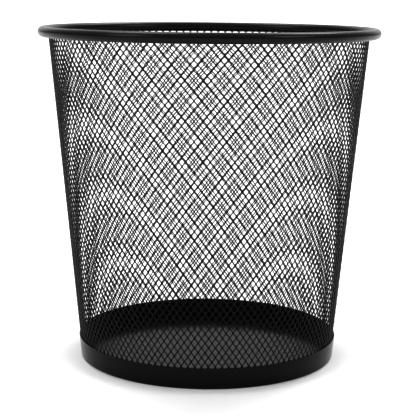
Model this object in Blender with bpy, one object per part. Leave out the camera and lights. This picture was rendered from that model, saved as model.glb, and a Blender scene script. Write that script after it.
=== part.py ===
"""Round office wastebasket in black powder-coated sheet steel, in metres, +Z up.

The origin is on the basket's axis, on the plane that it stands on. Every piece is bent sheet turned round
the axis, so each one is a midline in the (radius, height) half-plane, thickened and spun:

  base_pan   pressed steel pan: raised floor, standing ring with a groove above it, flared skirt
  mesh_wall  expanded-metal cone, whose foot stands in the pan's groove and whose lip hooks into the rim
  top_rim    strip rolled into a nearly closed round tube, with a slit that grips the lip

mesh_wall is the closed envelope of the mesh, so its diamonds are not cut out of it.
"""

from math import atan, cos, pi, radians, sin, tan

import bmesh
import bpy
from mathutils import Matrix, Vector

# Driving dimensions
TOTAL_HEIGHT = 0.275
RIM_OUTER_DIAMETER = 0.280
RIM_TUBE_DIAMETER = 0.0084
SKIRT_FOOT_DIAMETER = 0.214
SKIRT_HEIGHT = 0.0173
FLOOR_RISE = 0.0034
STANDING_RING_WIDTH = 0.0022

# Sheet thickness, and the gap left between two pieces that touch on the real basket
RIM_SHEET = 0.0006
PAN_SHEET = 0.0006
MESH_SHEET = 0.0006
CLEARANCE = 0.0003

# Bends, as radii of the sheet's middle
CORNER_RADIUS = 0.0015
GROOVE_RADIUS = 0.0014
LIP_RADIUS = 0.0012

# The slit faces down and in. The lip ends inside the tube, this far from the tube's centre.
SLIT_ANGLE = radians(225)
SLIT_WIDTH = MESH_SHEET + 2.5 * CLEARANCE
LIP_END = 0.0014
MESH_FOOT_HEIGHT = 0.0021

# Resolution and shading
TURN_STEPS = 72
RIM_SEGMENTS = 14
BEND_SEGMENTS = 3
WELD_DISTANCE = 0.000002
SHARP_ANGLE = radians(40)

# Worked out from the dimensions above
RIM_CENTRE = Vector((RIM_OUTER_DIAMETER / 2 - RIM_TUBE_DIAMETER / 2, TOTAL_HEIGHT - RIM_TUBE_DIAMETER / 2))
WALL_TOP_RADIUS = RIM_CENTRE.x - RIM_TUBE_DIAMETER / 2
WALL_FOOT_RADIUS = SKIRT_FOOT_DIAMETER / 2 - PAN_SHEET - CLEARANCE
TAPER = atan((WALL_TOP_RADIUS - WALL_FOOT_RADIUS) / RIM_CENTRE.y)

BLACK_COAT = (0.012, 0.012, 0.014, 1.0)
MESH_COAT = (0.020, 0.020, 0.022, 1.0)
RIM_ROUGHNESS = 0.28
PAN_ROUGHNESS = 0.32
MESH_ROUGHNESS = 0.45


def clear_scene():
    for old in list(bpy.data.objects):
        bpy.data.objects.remove(old, do_unlink=True)


def powder_coat(name, colour, roughness):
    """The coat over the steel is a paint, so it isn't metallic."""
    material = bpy.data.materials.new(name)
    material.use_nodes = True
    shader = material.node_tree.nodes["Principled BSDF"]
    shader.inputs["Base Color"].default_value = colour
    shader.inputs["Roughness"].default_value = roughness
    shader.inputs["Metallic"].default_value = 0.0
    return material


def turned_by(vector, angle):
    return Matrix.Rotation(angle, 2) @ vector


def arc(centre, spoke, sweep, segments):
    """Points round a centre, both ends included, from centre + spoke through the angle sweep."""
    return [centre + turned_by(spoke, sweep * i / segments) for i in range(segments + 1)]


def bend(before, corner, after, radius):
    """The points of the arc that rounds off the corner of a midline."""
    arriving = (corner - before).normalized()
    leaving = (after - corner).normalized()
    turn = -arriving.angle_signed(leaving)
    start = corner - arriving * radius * abs(tan(turn / 2))
    inward = turned_by(arriving, pi / 2 if turn > 0 else -pi / 2)
    return arc(start + inward * radius, -inward * radius, turn, BEND_SEGMENTS)


def sheet_outline(midline, thickness):
    """The outline of a sheet of this thickness: along one side of the midline, and back along the other."""
    last = len(midline) - 1
    offsets = []
    for i, point in enumerate(midline):
        before = (point - midline[max(i - 1, 0)]).normalized()
        after = (midline[min(i + 1, last)] - point).normalized()
        along = (before + after).normalized()
        mitre = max(along.dot(before), along.dot(after))
        offsets.append(turned_by(along, pi / 2) * (thickness / 2 / mitre))
    left = [point + offset for point, offset in zip(midline, offsets)]
    right = [point - offset for point, offset in zip(midline, offsets)]
    return left + right[::-1]


def turned_sheet(name, midline, thickness, material):
    """A bent sheet spun once round the Z axis. An edge that lies on the axis is left out."""
    outline = sheet_outline(midline, thickness)
    form = bmesh.new()
    ring = [form.verts.new((point.x, 0.0, point.y)) for point in outline]
    for a, b in zip(ring, ring[1:] + ring[:1]):
        if max(a.co.x, b.co.x) > WELD_DISTANCE:
            form.edges.new((a, b))
    bmesh.ops.spin(form, geom=ring + form.edges[:], cent=(0, 0, 0), axis=(0, 0, 1),
                   angle=2 * pi, steps=TURN_STEPS, use_merge=True)
    bmesh.ops.remove_doubles(form, verts=form.verts, dist=WELD_DISTANCE)
    bmesh.ops.recalc_face_normals(form, faces=form.faces)
    mesh = bpy.data.meshes.new(name)
    form.to_mesh(mesh)
    form.free()
    mesh.materials.append(material)
    mesh.shade_smooth()
    mesh.set_sharp_from_angle(angle=SHARP_ANGLE)
    body = bpy.data.objects.new(name, mesh)
    bpy.context.scene.collection.objects.link(body)


def base_pan():
    """Down the skirt, round the corner, in along the standing ring, up to the floor, in to the axis."""
    half = PAN_SHEET / 2
    skirt_foot = SKIRT_FOOT_DIAMETER / 2 - half / cos(TAPER)
    skirt_top = Vector((skirt_foot + SKIRT_HEIGHT * tan(TAPER), SKIRT_HEIGHT))
    corner = Vector((skirt_foot + half * tan(TAPER), half))
    groove_foot = Vector((corner.x - CORNER_RADIUS - STANDING_RING_WIDTH - GROOVE_RADIUS, half))
    floor_edge = Vector((groove_foot.x, FLOOR_RISE - half))
    floor_centre = Vector((0.0, floor_edge.y))
    midline = [skirt_top]
    midline += bend(skirt_top, corner, groove_foot, CORNER_RADIUS)
    midline += bend(corner, groove_foot, floor_edge, GROOVE_RADIUS)
    midline += bend(groove_foot, floor_edge, floor_centre, GROOVE_RADIUS)[1:]
    midline += [floor_centre]
    turned_sheet("base_pan", midline, PAN_SHEET, powder_coat("pan_coat", BLACK_COAT, PAN_ROUGHNESS))


def mesh_wall():
    """From the foot straight up the cone, then a short lip turned out into the rim's tube."""
    middle_at_ground = SKIRT_FOOT_DIAMETER / 2 - (PAN_SHEET + CLEARANCE + MESH_SHEET / 2) / cos(TAPER)
    foot = Vector((middle_at_ground + MESH_FOOT_HEIGHT * tan(TAPER), MESH_FOOT_HEIGHT))
    slit_way = Vector((cos(SLIT_ANGLE), sin(SLIT_ANGLE)))
    wall_at_rim = middle_at_ground + RIM_CENTRE.y * tan(TAPER)
    corner = RIM_CENTRE + slit_way * ((RIM_CENTRE.x - wall_at_rim) / (slit_way.y * tan(TAPER) - slit_way.x))
    lip_end = RIM_CENTRE + slit_way * LIP_END
    midline = [foot] + bend(foot, corner, lip_end, LIP_RADIUS) + [lip_end]
    turned_sheet("mesh_wall", midline, MESH_SHEET, powder_coat("mesh_coat", MESH_COAT, MESH_ROUGHNESS))


def top_rim():
    """Strip rolled to a tube, whose slit leaves room for the lip."""
    half_slit = SLIT_WIDTH / 2 / (RIM_TUBE_DIAMETER / 2 - RIM_SHEET)
    spoke = Vector((RIM_TUBE_DIAMETER / 2 - RIM_SHEET / 2, 0.0))
    midline = arc(RIM_CENTRE, turned_by(spoke, SLIT_ANGLE + half_slit), 2 * (pi - half_slit), RIM_SEGMENTS)
    turned_sheet("top_rim", midline, RIM_SHEET, powder_coat("rim_coat", BLACK_COAT, RIM_ROUGHNESS))


clear_scene()
base_pan()
mesh_wall()
top_rim()
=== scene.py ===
"""Looks for the wastebasket, in metres, +Z up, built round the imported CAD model.

The CAD's three nodes keep the sizes. Here the closed envelope of the wall becomes real expanded metal, and
the rim and the pan are turned again with finer sheet edges, a butt joint and a floor that isn't quite flat.
"""

from math import atan2, cos, hypot, pi, radians, sin, tan

import bpy
import numpy as np
from mathutils import Matrix, Vector


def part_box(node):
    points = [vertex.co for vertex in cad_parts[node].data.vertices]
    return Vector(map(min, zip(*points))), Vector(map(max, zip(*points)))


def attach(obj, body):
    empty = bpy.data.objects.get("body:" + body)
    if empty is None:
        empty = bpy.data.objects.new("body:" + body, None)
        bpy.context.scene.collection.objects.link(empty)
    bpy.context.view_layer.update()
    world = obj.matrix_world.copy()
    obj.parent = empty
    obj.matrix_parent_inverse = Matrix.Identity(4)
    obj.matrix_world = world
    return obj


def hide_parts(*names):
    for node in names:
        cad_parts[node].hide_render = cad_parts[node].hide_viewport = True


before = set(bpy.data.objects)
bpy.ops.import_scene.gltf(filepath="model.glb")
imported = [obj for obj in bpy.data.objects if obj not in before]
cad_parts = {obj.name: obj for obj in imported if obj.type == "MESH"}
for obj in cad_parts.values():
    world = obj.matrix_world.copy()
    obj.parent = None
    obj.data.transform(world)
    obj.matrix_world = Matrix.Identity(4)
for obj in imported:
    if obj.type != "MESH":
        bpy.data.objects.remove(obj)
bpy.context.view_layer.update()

# ---------------------------------------------------------------- sizes, from the frame and the sheet
rim_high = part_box("top_rim")[1]
pan_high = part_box("base_pan")[1]
wall_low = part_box("mesh_wall")[0]

RIM_TUBE = 0.0084
SHEET = 0.0006
CLEARANCE = 0.0003
SKIRT_FOOT_RADIUS = 0.107
FLOOR_RISE = 0.0034
STANDING_RING = 0.0022
CORNER_RADIUS = 0.0015
GROOVE_RADIUS = 0.0014
LIP_RADIUS = 0.0012
SLIT_ANGLE = radians(225)
LIP_END = 0.0014

RIM_CENTRE = Vector((rim_high.x - RIM_TUBE / 2, rim_high.z - RIM_TUBE / 2))
SKIRT_HEIGHT = pan_high.z
FLOOR_RADIUS = SKIRT_FOOT_RADIUS - CORNER_RADIUS - STANDING_RING - GROOVE_RADIUS
WALL_RISE = RIM_CENTRE.x - RIM_TUBE / 2 - (SKIRT_FOOT_RADIUS - SHEET - CLEARANCE)
TAPER = atan2(WALL_RISE, RIM_CENTRE.y)

# Expanded metal: lengths along the wall, and strands measured with their coat on
DIAMONDS_ROUND = 128
HALF_ROWS = 69
ROW_AT_FOOT = 0.00395
ROW_AT_RIM = 0.00375
STRAND_WIDTH = 0.00098
STRAND_DEPTH = 0.00068
STRAND_FLAT = 0.6
BOND_FLANK = 0.00040
BOND_TILT = 0.14
LAP_COLUMNS = 2
LAP_STEP = 0.00080
LAP_EASE = 8
SECTORS = ("back", "left", "front")
WELD_SPACING = 0.024
WELD_RADIUS = 0.0015
WELD_DEPTH = 0.0009

# Light: the room's brightness, and soft boxes as (direction, inner degrees, outer degrees, brightness)
ROOM_HORIZON, ROOM_ZENITH, ROOM_SEEN = 0.20, 0.95, 1.5
FLOOR_HALF = 12.0
VIEW_GAMMA = 0.75
SOFT_BOXES = [
    ((0.0, 1.0, 0.27), 18, 45, 0.9),
    ((-0.28, 0.35, 0.90), 9, 14, 8.0),
    ((0.37, 0.49, 0.79), 9, 14, 10.0),
    ((-1.2, -0.7, 0.8), 8, 16, 4.0),
    ((1.2, -0.7, 0.8), 8, 16, 4.0),
]

# Turned pieces
TURN_STEPS = 320
JOINT_HALF_WIDTH = 0.0004
JOINT_DEPTH = 0.00018
FLOOR_SWELL = 0.00025

# Powder coat, with the scale of its noises per metre
CLOUD_SCALE = 45.0
GLOSS_SCALE = 160.0
GLOSS_SPREAD = 0.05
PEEL_SCALE = 1100.0
PEEL_DEPTH = 0.00004
BLACK = (0.0035, 0.0038, 0.0046)

# Camera, with its place in heights of the rim's centre
CAMERA_BACK = 3.75
CAMERA_UP = 1.128
CAMERA_PITCH = 0.177
CAMERA_ROLL = radians(0.5)
CAMERA_LENS = 106.0


# ---------------------------------------------------------------- bent sheet: midlines in (radius, height)
def turned_by(vector, angle):
    return Matrix.Rotation(angle, 2) @ vector


def arc(centre, spoke, sweep, segments):
    """Points round a centre, both ends included, from centre + spoke through the angle sweep."""
    return [centre + turned_by(spoke, sweep * i / segments) for i in range(segments + 1)]


def bend(before, corner, after, radius, segments):
    """The points of the arc that rounds off the corner of a midline."""
    arriving = (corner - before).normalized()
    leaving = (after - corner).normalized()
    turn = -arriving.angle_signed(leaving)
    start = corner - arriving * radius * abs(tan(turn / 2))
    inward = turned_by(arriving, pi / 2 if turn > 0 else -pi / 2)
    return arc(start + inward * radius, -inward * radius, turn, segments)


def wall_midline():
    """The middle of the mesh, from its foot in the pan's groove up to the end of its lip inside the rim."""
    at_ground = SKIRT_FOOT_RADIUS - (SHEET * 1.5 + CLEARANCE) / cos(TAPER)
    foot = Vector((at_ground + wall_low.z * tan(TAPER), wall_low.z))
    slit_way = Vector((cos(SLIT_ANGLE), sin(SLIT_ANGLE)))
    at_rim = at_ground + RIM_CENTRE.y * tan(TAPER)
    corner = RIM_CENTRE + slit_way * ((RIM_CENTRE.x - at_rim) / (slit_way.y * tan(TAPER) - slit_way.x))
    lip_end = RIM_CENTRE + slit_way * LIP_END
    return [foot] + bend(foot, corner, lip_end, LIP_RADIUS, 8) + [lip_end]


def pan_midline():
    """Down the skirt, round the corner, in along the standing ring, up to the floor, in to the axis."""
    half = SHEET / 2
    skirt_foot = SKIRT_FOOT_RADIUS - half / cos(TAPER)
    skirt_top = Vector((skirt_foot + SKIRT_HEIGHT * tan(TAPER), SKIRT_HEIGHT))
    corner = Vector((skirt_foot + half * tan(TAPER), half))
    groove_foot = Vector((corner.x - CORNER_RADIUS - STANDING_RING - GROOVE_RADIUS, half))
    floor_edge = Vector((groove_foot.x, FLOOR_RISE - half))
    floor_centre = Vector((0.0, floor_edge.y))
    midline = [skirt_top]
    midline += bend(skirt_top, corner, groove_foot, CORNER_RADIUS, 8)
    midline += bend(corner, groove_foot, floor_edge, GROOVE_RADIUS, 8)
    midline += bend(groove_foot, floor_edge, floor_centre, GROOVE_RADIUS, 8)[1:]
    rings = [floor_edge.x * share for share in (0.97, 0.93, 0.86, 0.76, 0.64, 0.5, 0.36, 0.22, 0.1)]
    midline += [Vector((radius, floor_edge.y)) for radius in rings]
    return midline + [floor_centre]


def sheet_outline(midline, thickness, closed_at_axis):
    """Along one side of the midline and back along the other, with sheet edges rounded by the coat."""
    last = len(midline) - 1
    offsets = []
    for i, point in enumerate(midline):
        before = (point - midline[max(i - 1, 0)]).normalized()
        after = (midline[min(i + 1, last)] - point).normalized()
        along = (before + after).normalized()
        mitre = max(along.dot(before), along.dot(after))
        offsets.append(turned_by(along, pi / 2) * (thickness / 2 / mitre))
    left = [point + offset for point, offset in zip(midline, offsets)]
    right = [point - offset for point, offset in zip(midline, offsets)]
    near_edge = arc(midline[0], -offsets[0], -pi, 6)[1:-1]
    far_edge = [] if closed_at_axis else arc(midline[-1], offsets[-1], -pi, 6)[1:-1]
    return near_edge + left + far_edge + right[::-1]


# ---------------------------------------------------------------- meshes
def mesh_piece(name, points, polygon_groups, material, node):
    """A piece from points and from arrays of polygons, one array for each number of corners."""
    mesh = bpy.data.meshes.new(name)
    used, corners = np.unique(np.concatenate([g.ravel() for g in polygon_groups]), return_inverse=True)
    sizes = np.concatenate([np.full(len(g), g.shape[1]) for g in polygon_groups])
    mesh.vertices.add(len(used))
    mesh.vertices.foreach_set("co", points[used].astype(np.float32).ravel())
    mesh.loops.add(len(corners))
    mesh.loops.foreach_set("vertex_index", corners.ravel().astype(np.int32))
    mesh.polygons.add(len(sizes))
    mesh.polygons.foreach_set("loop_start", (np.cumsum(sizes) - sizes).astype(np.int32))
    mesh.update(calc_edges=True)
    mesh.validate()
    mesh.shade_smooth()
    mesh.materials.append(material)
    piece = bpy.data.objects.new(name, mesh)
    bpy.context.scene.collection.objects.link(piece)
    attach(piece, "root")
    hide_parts(node)
    return piece


def turned_grid(outline, angles):
    """Points and quads of a closed outline carried round the axis."""
    profile = np.array([(p.x, p.y) for p in outline])
    radius, angle = np.meshgrid(profile[:, 0], angles)
    height = np.broadcast_to(profile[:, 1], radius.shape)
    points = np.stack([radius * np.cos(angle), radius * np.sin(angle), height], axis=-1)
    steps, count = radius.shape
    here = np.arange(steps * count).reshape(steps, count)
    along = np.roll(here, -1, axis=1)
    quads = np.stack([here, np.roll(here, -1, axis=0), np.roll(along, -1, axis=0), along], axis=-1)
    return points, quads


# ---------------------------------------------------------------- expanded metal
def wall_rows():
    """Distance along the midline of each row of bonds, up to one at the rim's bend and one on the lip."""
    points = np.array([(p.x, p.y) for p in WALL_LINE])
    to_lip = hypot(*(points[-1] - points[-2]))
    to_bend = WALL_LENGTH - to_lip
    steps = np.linspace(ROW_AT_FOOT, ROW_AT_RIM, HALF_ROWS)
    first = 2 * BOND_FLANK
    rows = first + np.concatenate([[0], np.cumsum(steps)]) * (to_bend - first) / steps.sum()
    return np.append(rows, rows[-1] + ROW_AT_RIM)


def on_wall(angle, along, out):
    """Points on the wall from their angle round it, distance along its midline, and distance outside it."""
    line = np.array([(p.x, p.y) for p in WALL_LINE])
    runs = np.hypot(*np.diff(line, axis=0).T)
    marks = np.concatenate([[0], np.cumsum(runs)])
    slopes = np.diff(line, axis=0) / runs[:, None]
    middles = (marks[1:] + marks[:-1]) / 2
    tangent = np.stack([np.interp(along, middles, slopes[:, i]) for i in (0, 1)], axis=-1)
    tangent /= np.linalg.norm(tangent, axis=-1, keepdims=True)
    beyond = along - np.clip(along, 0, marks[-1])
    radius = np.interp(along, marks, line[:, 0]) + beyond * tangent[..., 0] + out * tangent[..., 1]
    height = np.interp(along, marks, line[:, 1]) + beyond * tangent[..., 1] - out * tangent[..., 0]
    return np.stack([radius * np.cos(angle), radius * np.sin(angle), height], axis=-1)


# A bond has 22 points. Each of its four ports, up-right, up-left, down-right and down-left, is a six-sided
# ring: crotch, two points on the front, flank, two points on the back.
CROTCH_UP, CROTCH_DOWN = 0, 1
FLANKS = {(1, 1): 2, (-1, 1): 3, (1, -1): 4, (-1, -1): 5}
FACES = {(1, 1): 6, (-1, 1): 10, (1, -1): 14, (-1, -1): 18}
BOND_POINTS = 22


def port_ring(side, way):
    """The ring's points in order from the crotch: front near, front far, flank, back far, back near."""
    crotch = CROTCH_UP if way > 0 else CROTCH_DOWN
    first = FACES[side, way]
    return [crotch, first, first + 1, FLANKS[side, way], first + 3, first + 2]


def bond_offsets(half_width, row_height):
    """(round, along, out) of a bond's points, for strands that leave towards the next row's bonds."""
    lean = np.arctan2(half_width, row_height)
    across, drop = STRAND_WIDTH * np.cos(lean), STRAND_WIDTH * np.sin(lean)
    crotch = BOND_FLANK + drop
    near, far = (1 - STRAND_FLAT) / 2, (1 + STRAND_FLAT) / 2
    zero = np.zeros_like(lean)
    offsets = np.zeros(lean.shape + (BOND_POINTS, 3))
    offsets[..., CROTCH_UP, :] = np.stack([zero, crotch, zero], axis=-1)
    offsets[..., CROTCH_DOWN, :] = np.stack([zero, -crotch, zero], axis=-1)
    for (side, way), flank in FLANKS.items():
        offsets[..., flank, :] = np.stack([side * across, way * (crotch - drop), zero], axis=-1)
        for i, (share, face) in enumerate(((near, 1), (far, 1), (near, -1), (far, -1))):
            place = [side * across * share, way * (crotch - drop * share), zero + face * STRAND_DEPTH / 2]
            offsets[..., FACES[side, way] + i, :] = np.stack(place, axis=-1)
    offsets[..., 2] += BOND_TILT * offsets[..., 1]
    return offsets


def bond_polygons():
    """The faces of one bond between its four ports, as lists of quads and triangles."""
    quads, triangles = [], []
    for back in (0, 2):
        near = {port: first + back for port, first in FACES.items()}
        far = {port: first + back + 1 for port, first in FACES.items()}
        faces = [
            [near[1, 1], near[-1, 1], near[-1, -1], near[1, -1]],
            [far[1, 1], near[1, 1], near[1, -1], far[1, -1]],
            [near[-1, 1], far[-1, 1], far[-1, -1], near[-1, -1]],
            [far[1, -1], FLANKS[1, -1], FLANKS[1, 1], far[1, 1]],
            [far[-1, 1], FLANKS[-1, 1], FLANKS[-1, -1], far[-1, -1]],
        ]
        corners = [[near[1, 1], CROTCH_UP, near[-1, 1]], [near[-1, -1], CROTCH_DOWN, near[1, -1]]]
        turn = -1 if back else 1
        quads += [face[::turn] for face in faces]
        triangles += [corner[::turn] for corner in corners]
    return np.array(quads), np.array(triangles)


def strand_quads(start, end, side):
    """The six sides of strands from the upper ports of bonds start to the lower ports of bonds end."""
    lower = port_ring(side, 1)
    upper = [FLANKS[-side, -1]] + [port_ring(-side, -1)[i] for i in (2, 1, 0, 5, 4)]
    quads = []
    for i in range(6):
        j = (i + 1) % 6
        corners = [start + lower[i], start + lower[j], end + upper[j], end + upper[i]]
        quads.append(np.stack(corners[::side], axis=-1))
    return np.concatenate(quads)


def ring_caps(bonds, side, way, outward):
    """Flat ends over ports with no strand, or, turned round, over the far end of a strand."""
    ring = port_ring(side, way)
    turn = side * way * (1 if outward else -1)
    return np.stack([bonds + corner for corner in ring[::turn]], axis=-1)


def mesh_wall(material):
    """One sheet of expanded metal, lapped at +X, in as many pieces as there are sectors."""
    rows = wall_rows()
    columns = DIAMONDS_ROUND + LAP_COLUMNS
    row, column = np.meshgrid(np.arange(len(rows)), np.arange(columns), indexing="ij")
    pitch = 2 * pi / DIAMONDS_ROUND
    angle = (column + 0.5 * (row % 2) - (LAP_COLUMNS - 0.5) / 2) * pitch
    radius = np.hypot(*np.moveaxis(on_wall(angle, rows[row], 0.0)[..., :2], -1, 0))
    ease = np.clip((column - DIAMONDS_ROUND + LAP_EASE) / LAP_EASE, 0, 1)
    step_in = -LAP_STEP * ease * ease * (3 - 2 * ease)
    gaps = np.gradient(rows)[row]
    offsets = bond_offsets(radius * pitch / 2, gaps)
    points = on_wall(angle[..., None] + offsets[..., 0] / radius[..., None],
                     rows[row][..., None] + offsets[..., 1],
                     step_in[..., None] + offsets[..., 2]).reshape(-1, 3)
    first = (row * columns + column) * BOND_POINTS
    sector = np.clip(column * len(SECTORS) // columns, 0, len(SECTORS) - 1)
    bond_quads, bond_triangles = bond_polygons()
    pieces = []
    for number, name in enumerate(SECTORS):
        mine = sector == number
        starts = first[mine]
        quads = [(starts[:, None, None] + bond_quads).reshape(-1, 4)]
        triangles = [(starts[:, None, None] + bond_triangles).reshape(-1, 3)]
        caps = []
        for side in (1, -1):
            for way in (1, -1):
                next_row = row + way
                next_column = column + np.where(row % 2 == 1, (side + 1) // 2, (side - 1) // 2)
                real = (next_row >= 0) & (next_row < len(rows))
                real &= (next_column >= 0) & (next_column < columns)
                there = np.where(real, next_row * columns + next_column, 0)
                same = real & (sector.ravel()[there] == number)
                if way > 0:
                    goes = mine & real
                    ends = there[goes] * BOND_POINTS
                    quads.append(strand_quads(first[goes], ends, side))
                    leaves = mine & real & ~same
                    caps.append(ring_caps(there[leaves] * BOND_POINTS, -side, -1, False))
                    caps.append(ring_caps(first[mine & ~real], side, way, True))
                else:
                    caps.append(ring_caps(first[mine & ~same], side, way, True))
        groups = [np.concatenate(quads), np.concatenate(triangles), np.concatenate(caps)]
        pieces.append(mesh_piece("mesh_wall_" + name, points, groups, material, "mesh_wall"))
    return pieces


def seam_welds(material):
    """Flattened spot welds up the lap, where the electrodes squeezed its two layers together."""
    steps, rings = 20, 5
    tilt, turn = np.meshgrid(np.linspace(0, pi, 2 * rings + 1)[1:-1], np.arange(steps) * 2 * pi / steps,
                             indexing="ij")
    count = int((WALL_LENGTH - 2 * SKIRT_HEIGHT) / WELD_SPACING) + 1
    quads, triangles, points = [], [], []
    body = 2 + tilt.size
    for i in range(count):
        along = SKIRT_HEIGHT * 1.4 + i * WELD_SPACING
        round_it = WELD_RADIUS * np.sin(tilt) * np.cos(turn)
        up = WELD_RADIUS * np.sin(tilt) * np.sin(turn)
        out = WELD_DEPTH * np.cos(tilt) - LAP_STEP / 2
        radius = float(np.hypot(*on_wall(0.0, along, 0.0)[:2]))
        shell = on_wall(round_it / radius, along + up, out).reshape(-1, 3)
        poles = on_wall(np.zeros(2), np.full(2, along), np.array([WELD_DEPTH, -WELD_DEPTH]) - LAP_STEP / 2)
        points += [poles, shell]
        base = i * body
        grid = base + 2 + np.arange(tilt.size).reshape(tilt.shape)
        beside = np.roll(grid, -1, axis=1)
        quads.append(np.stack([grid[:-1], grid[1:], beside[1:], beside[:-1]], axis=-1).reshape(-1, 4))
        triangles.append(np.stack([np.full(steps, base), grid[0], beside[0]], axis=-1))
        triangles.append(np.stack([np.full(steps, base + 1), beside[-1], grid[-1]], axis=-1))
    groups = [np.concatenate(quads), np.concatenate(triangles)]
    return mesh_piece("mesh_seam_welds", np.concatenate(points), groups, material, "mesh_wall")


# ---------------------------------------------------------------- rim and pan
def turn_angles(radius):
    """Even steps round the axis, with close ones across the butt joint at angle zero."""
    even = np.arange(TURN_STEPS) * 2 * pi / TURN_STEPS
    close = np.linspace(-3, 3, 25)[:-1] * JOINT_HALF_WIDTH / radius
    return np.unique(np.round(np.concatenate([even[even > close[-1]], close % (2 * pi)]), 9))


def top_rim(material):
    """Strip rolled to a tube, with the fine groove of the butt joint where the ring was closed."""
    half_slit = (SHEET / 2 + 1.25 * CLEARANCE) / (RIM_TUBE / 2 - SHEET)
    spoke = Vector((RIM_TUBE / 2 - SHEET / 2, 0.0))
    midline = arc(RIM_CENTRE, turned_by(spoke, SLIT_ANGLE + half_slit), 2 * (pi - half_slit), 36)
    angles = turn_angles(RIM_CENTRE.x)
    points, quads = turned_grid(sheet_outline(midline, SHEET, False), angles)
    away = np.minimum(angles, 2 * pi - angles) * RIM_CENTRE.x / JOINT_HALF_WIDTH
    groove = JOINT_DEPTH * np.exp(-away * away)[:, None]
    centre = np.stack([RIM_CENTRE.x * np.cos(angles), RIM_CENTRE.x * np.sin(angles),
                       np.full_like(angles, RIM_CENTRE.y)], axis=-1)[:, None]
    spokes = points - centre
    length = np.linalg.norm(spokes, axis=-1)
    points = centre + spokes * (1 - groove * (length > RIM_TUBE / 2 - SHEET / 2) / length)[..., None]
    points, groups = points.reshape(-1, 3), [quads.reshape(-1, 4)]
    return mesh_piece("top_rim_tube", points, groups, material, "top_rim")


def base_pan(material):
    """Pressed pan, whose floor swells and dips by a fraction of a millimetre, as thin sheet does."""
    midline = pan_midline()
    outline = sheet_outline(midline, SHEET, True)
    angles = np.arange(TURN_STEPS) * 2 * pi / TURN_STEPS
    points, quads = turned_grid(outline, angles)
    radius = np.hypot(points[..., 0], points[..., 1])
    inside = np.clip(1 - radius / FLOOR_RADIUS, 0, 1)
    swell = inside * inside * (3 - 2 * inside)
    angle = np.arctan2(points[..., 1], points[..., 0])
    points[..., 2] += FLOOR_SWELL * swell * (1 + 0.8 * np.sin(2 * angle + 0.7) * radius / SKIRT_FOOT_RADIUS)
    upper = next(i for i, point in enumerate(outline) if point.x < 1e-6)
    spans = np.delete(quads, (upper - 1, upper, upper + 1), axis=1)
    above, below = quads[:, upper - 1], quads[:, upper + 1]
    top_fan = np.stack([above[:, 0], above[:, 1], np.full(TURN_STEPS, upper)], axis=-1)
    under_fan = np.stack([np.full(TURN_STEPS, upper + 1), below[:, 2], below[:, 3]], axis=-1)
    groups = [spans.reshape(-1, 4), np.concatenate([top_fan, under_fan])]
    return mesh_piece("base_pan_pressing", points.reshape(-1, 3), groups, material, "base_pan")


# ---------------------------------------------------------------- materials
def powder_coat(name, colour, roughness, specular, grain):
    """Black powder coat: fine orange peel, slightly uneven gloss, and faint clouding of the colour."""
    material = bpy.data.materials.new(name)
    material.use_nodes = True
    nodes, links = material.node_tree.nodes, material.node_tree.links
    shader = nodes["Principled BSDF"]
    shader.inputs["Specular IOR Level"].default_value = specular
    place = nodes.new("ShaderNodeTexCoord")

    def noise(scale, detail):
        texture = nodes.new("ShaderNodeTexNoise")
        texture.inputs["Scale"].default_value = scale
        texture.inputs["Detail"].default_value = detail
        links.new(place.outputs["Object"], texture.inputs["Vector"])
        return texture.outputs["Fac"]

    clouds = noise(CLOUD_SCALE, 3.0)
    colours = nodes.new("ShaderNodeValToRGB")
    colours.color_ramp.elements[0].position = 0.3
    colours.color_ramp.elements[0].color = [c * 0.8 for c in colour] + [1.0]
    colours.color_ramp.elements[1].position = 0.7
    colours.color_ramp.elements[1].color = [c * 1.25 for c in colour] + [1.0]
    links.new(clouds, colours.inputs["Fac"])
    links.new(colours.outputs["Color"], shader.inputs["Base Color"])

    gloss = nodes.new("ShaderNodeMapRange")
    gloss.inputs["To Min"].default_value = roughness - GLOSS_SPREAD
    gloss.inputs["To Max"].default_value = roughness + GLOSS_SPREAD
    links.new(noise(GLOSS_SCALE, 2.0), gloss.inputs["Value"])
    links.new(gloss.outputs["Result"], shader.inputs["Roughness"])

    peel = nodes.new("ShaderNodeBump")
    peel.inputs["Strength"].default_value = grain
    peel.inputs["Distance"].default_value = PEEL_DEPTH
    links.new(noise(PEEL_SCALE, 1.5), peel.inputs["Height"])
    links.new(peel.outputs["Normal"], shader.inputs["Normal"])
    return material


def pale_floor():
    material = bpy.data.materials.new("studio_floor")
    material.use_nodes = True
    shader = material.node_tree.nodes["Principled BSDF"]
    shader.inputs["Base Color"].default_value = (0.93, 0.93, 0.93, 1.0)
    shader.inputs["Roughness"].default_value = 0.9
    shader.inputs["Specular IOR Level"].default_value = 0.0
    mesh = bpy.data.meshes.new("studio_floor")
    corners = [(-FLOOR_HALF, -FLOOR_HALF, 0), (FLOOR_HALF, -FLOOR_HALF, 0)]
    corners += [(FLOOR_HALF, FLOOR_HALF, 0), (-FLOOR_HALF, FLOOR_HALF, 0)]
    mesh.from_pydata(corners, [], [(0, 1, 2, 3)])
    mesh.materials.append(material)
    floor = bpy.data.objects.new("studio_floor", mesh)
    bpy.context.scene.collection.objects.link(floor)


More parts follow.
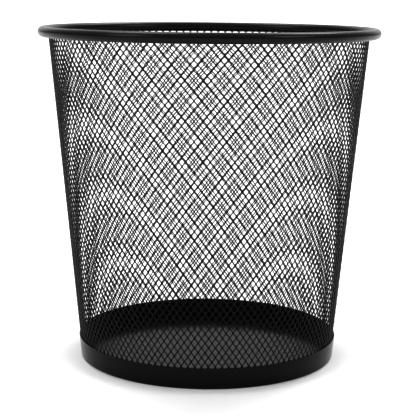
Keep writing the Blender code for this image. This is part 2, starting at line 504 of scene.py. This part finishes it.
# ---------------------------------------------------------------- light and camera
def studio():
    """A pale room, darker at the horizon, with soft boxes so far off that the floor is lit evenly."""
    world = bpy.data.worlds.new("studio")
    bpy.context.scene.world = world
    world.use_nodes = True
    nodes, links = world.node_tree.nodes, world.node_tree.links
    way = nodes.new("ShaderNodeTexCoord").outputs["Generated"]

    def ramp(value, low, high, at_low, at_high, shape="LINEAR"):
        fade = nodes.new("ShaderNodeMapRange")
        fade.interpolation_type = shape
        settings = {"From Min": low, "From Max": high, "To Min": at_low, "To Max": at_high}
        for name, setting in settings.items():
            fade.inputs[name].default_value = setting
        links.new(value, fade.inputs["Value"])
        return fade.outputs["Result"]

    height = nodes.new("ShaderNodeSeparateXYZ")
    links.new(way, height.inputs["Vector"])
    light = ramp(height.outputs["Z"], 0.0, 0.9, ROOM_HORIZON, ROOM_ZENITH)
    for place, inner, outer, strength in SOFT_BOXES:
        towards = nodes.new("ShaderNodeVectorMath")
        towards.operation = "DOT_PRODUCT"
        towards.inputs[1].default_value = Vector(place).normalized()
        links.new(way, towards.inputs[0])
        edges = cos(radians(outer)), cos(radians(inner))
        box = ramp(towards.outputs["Value"], *edges, 0.0, strength, "SMOOTHSTEP")
        both = nodes.new("ShaderNodeMath")
        links.new(light, both.inputs[0])
        links.new(box, both.inputs[1])
        light = both.outputs["Value"]

    seen = nodes.new("ShaderNodeMix")
    links.new(nodes.new("ShaderNodeLightPath").outputs["Is Camera Ray"], seen.inputs["Factor"])
    links.new(light, seen.inputs["A"])
    seen.inputs["B"].default_value = ROOM_SEEN
    links.new(seen.outputs["Result"], nodes["Background"].inputs["Strength"])
    nodes["Background"].inputs["Color"].default_value = (1.0, 1.0, 1.0, 1.0)
    bpy.context.scene.view_settings.view_transform = "Standard"
    bpy.context.scene.view_settings.gamma = VIEW_GAMMA


def camera():
    """The photograph's viewing angle: a metre away, a little above the rim, looking down 10 degrees."""
    data = bpy.data.cameras.new("camera")
    data.sensor_width = 36.0
    data.lens = CAMERA_LENS
    view = bpy.data.objects.new("camera", data)
    view.location = (0.0, -CAMERA_BACK * RIM_CENTRE.y, CAMERA_UP * RIM_CENTRE.y)
    tilted = Matrix.Rotation(pi / 2 - CAMERA_PITCH, 3, "X")
    view.rotation_euler = (tilted @ Matrix.Rotation(CAMERA_ROLL, 3, "Z")).to_euler()
    bpy.context.scene.collection.objects.link(view)
    bpy.context.scene.camera = view


WALL_LINE = wall_midline()
WALL_LENGTH = sum((b - a).length for a, b in zip(WALL_LINE, WALL_LINE[1:]))

camera()
studio()
pale_floor()
mesh_coat = powder_coat("mesh_powder_coat", BLACK, 0.42, 0.15, 0.3)
mesh_wall(mesh_coat)
seam_welds(mesh_coat)
top_rim(powder_coat("rim_powder_coat", BLACK, 0.26, 0.22, 0.4))
base_pan(powder_coat("pan_powder_coat", BLACK, 0.17, 0.14, 0.3))
